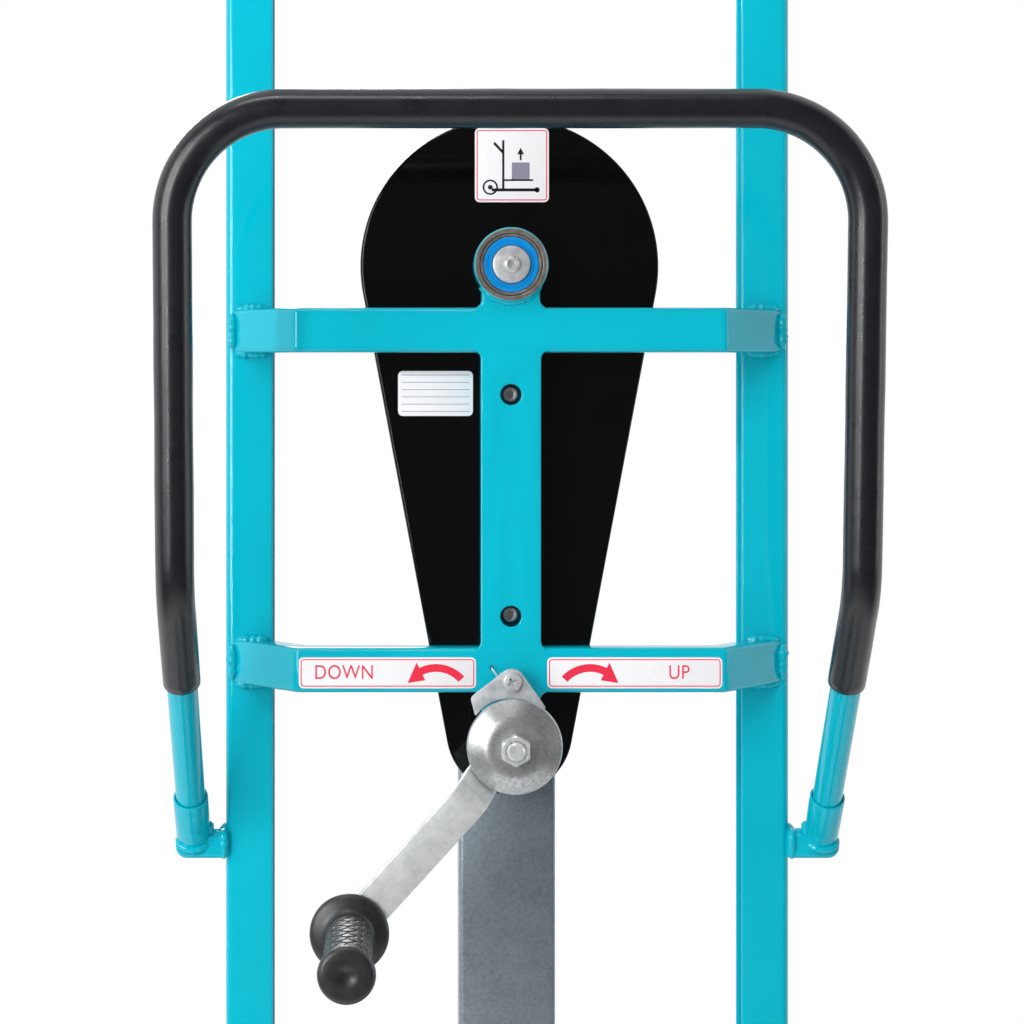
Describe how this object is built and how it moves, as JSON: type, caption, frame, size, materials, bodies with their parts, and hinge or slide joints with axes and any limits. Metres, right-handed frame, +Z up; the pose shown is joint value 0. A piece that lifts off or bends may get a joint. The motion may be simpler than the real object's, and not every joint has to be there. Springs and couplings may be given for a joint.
{
  "type": "hand winch material lift",
  "caption": "Mast on wheels with a platform carriage that a belt lifts, driven by a hand crank through a chain case, with a U-shaped push handle.",
  "frame": {"origin": "on the floor under the middle of the lift's bounding box", "axes": "+Z up along the mast, +Y from the operator toward the load, +X to the operator's right"},
  "size_m": [0.5716, 0.81, 1.7],
  "materials": {
    "turquoise_paint": "glossy turquoise powder coat",
    "black_paint": "glossy black paint on sheet steel",
    "galvanised": "zinc plated or galvanised steel, satin",
    "machined_steel": "machined steel, oiled",
    "blue_seal": "moulded blue rubber seal",
    "black_rubber": "matt black soft rubber",
    "black_tyre": "matt black tyre rubber",
    "black_plastic": "matt black polyamide",
    "grey_plastic": "matt grey polyamide",
    "belt_webbing": "woven polyester belt"
  },
  "bodies": {
    "chassis": {"left_post": "turquoise_paint", "right_post": "turquoise_paint", "top_crossbar": "turquoise_paint", "base_crossbar": "turquoise_paint", "left_leg": "turquoise_paint", "right_leg": "turquoise_paint", "rear_axle": "galvanised", "upper_crossbar": "turquoise_paint", "lower_crossbar": "turquoise_paint", "centre_bar": "turquoise_paint", "upper_bearing_housing": "turquoise_paint", "lower_bearing_housing": "turquoise_paint", "shaft_bearing": "machined_steel", "bearing_seal": "blue_seal", "front_bearing_flange": "machined_steel", "chain_case_cover": "black_paint", "chain_case_plate": "galvanised", "case_screw_upper": "galvanised", "case_screw_lower": "galvanised", "drive_chain": "machined_steel", "belt_guard": "galvanised", "handle_tube": "turquoise_paint", "handle_sleeve": "black_rubber", "left_handle_bracket": "turquoise_paint", "right_handle_bracket": "turquoise_paint", "pawl_screw": "galvanised", "pawl_spring": "galvanised"},
    "carriage": {"left_carriage_plate": "turquoise_paint", "right_carriage_plate": "turquoise_paint", "lower_carriage_beam": "turquoise_paint", "upper_carriage_beam": "turquoise_paint", "left_platform_arm": "turquoise_paint", "right_platform_arm": "turquoise_paint", "platform_deck": "turquoise_paint", "belt_clamp": "galvanised", "lift_belt": "belt_webbing"},
    "drum": {"drum_shaft": "machined_steel", "large_sprocket": "machined_steel", "belt_drum": "galvanised", "belt_winding": "belt_webbing", "shaft_washer": "machined_steel", "shaft_bolt": "galvanised"},
    "crank": {"crank_shaft": "machined_steel", "small_sprocket": "machined_steel", "ratchet_wheel": "galvanised", "crank_arm": "galvanised", "brake_cover": "galvanised", "crank_nut": "galvanised"},
    "grip": {"crank_grip": "black_rubber"},
    "pawl": {"pawl": "galvanised"},
    "left_wheel": {"left_tyre": "black_tyre", "left_rim": "galvanised"},
    "right_wheel": {"right_tyre": "black_tyre", "right_rim": "galvanised"},
    "left_front_roller": {"left_front_roller": "grey_plastic"},
    "right_front_roller": {"right_front_roller": "grey_plastic"},
    "left_lower_guide_roller": {"left_lower_guide_roller": "black_plastic"},
    "left_upper_guide_roller": {"left_upper_guide_roller": "black_plastic"},
    "right_lower_guide_roller": {"right_lower_guide_roller": "black_plastic"},
    "right_upper_guide_roller": {"right_upper_guide_roller": "black_plastic"}
  },
  "joints": [
    {"name": "carriage_slide", "type": "slide", "parent": "chassis", "child": "carriage", "axis": [0, 0, 1], "range_m": [0, 0.9], "deforming": ["lift_belt"]},
    {"name": "drum_turn", "type": "hinge", "parent": "chassis", "child": "drum", "pos_m": [0, -0.135, 1.11375], "axis": [0, 1, 0], "range_deg": [0, 1831.6]},
    {"name": "crank_turn", "type": "hinge", "parent": "chassis", "child": "crank", "pos_m": [0, -0.135, 0.8], "axis": [0, 1, 0], "range_deg": [0, 5494.8]},
    {"name": "grip_turn", "type": "hinge", "parent": "crank", "child": "grip", "pos_m": [-0.10654, -0.305, 0.68332], "axis": [0, 1, 0], "continuous": true},
    {"name": "pawl_lift", "type": "hinge", "parent": "chassis", "child": "pawl", "pos_m": [0, -0.1959, 0.8375], "axis": [0, -1, 0], "range_deg": [0, 8], "stiffness_Nm_per_rad": 0.05, "springref_deg": -17.19},
    {"name": "left_wheel_turn", "type": "hinge", "parent": "chassis", "child": "left_wheel", "pos_m": [-0.24675, -0.275, 0.13], "axis": [1, 0, 0], "continuous": true},
    {"name": "left_roller_turn", "type": "hinge", "parent": "chassis", "child": "left_front_roller", "pos_m": [-0.17725, 0.365, 0.04], "axis": [1, 0, 0], "continuous": true},
    {"name": "right_wheel_turn", "type": "hinge", "parent": "chassis", "child": "right_wheel", "pos_m": [0.24675, -0.275, 0.13], "axis": [1, 0, 0], "continuous": true},
    {"name": "right_roller_turn", "type": "hinge", "parent": "chassis", "child": "right_front_roller", "pos_m": [0.17725, 0.365, 0.04], "axis": [1, 0, 0], "continuous": true},
    {"name": "left_lower_guide_turn", "type": "hinge", "parent": "carriage", "child": "left_lower_guide_roller", "pos_m": [-0.17575, -0.12, 0.1128], "axis": [1, 0, 0], "continuous": true},
    {"name": "left_upper_guide_turn", "type": "hinge", "parent": "carriage", "child": "left_upper_guide_roller", "pos_m": [-0.17575, -0.12, 0.4928], "axis": [1, 0, 0], "continuous": true},
    {"name": "right_lower_guide_turn", "type": "hinge", "parent": "carriage", "child": "right_lower_guide_roller", "pos_m": [0.17575, -0.12, 0.1128], "axis": [1, 0, 0], "continuous": true},
    {"name": "right_upper_guide_turn", "type": "hinge", "parent": "carriage", "child": "right_upper_guide_roller", "pos_m": [0.17575, -0.12, 0.4928], "axis": [1, 0, 0], "continuous": true}
  ],
  "couplings": [
    {"joint": "drum_turn", "follows": "carriage_slide", "rad_per_m": 35.5},
    {"joint": "crank_turn", "follows": "carriage_slide", "rad_per_m": 106.5}
  ]
}
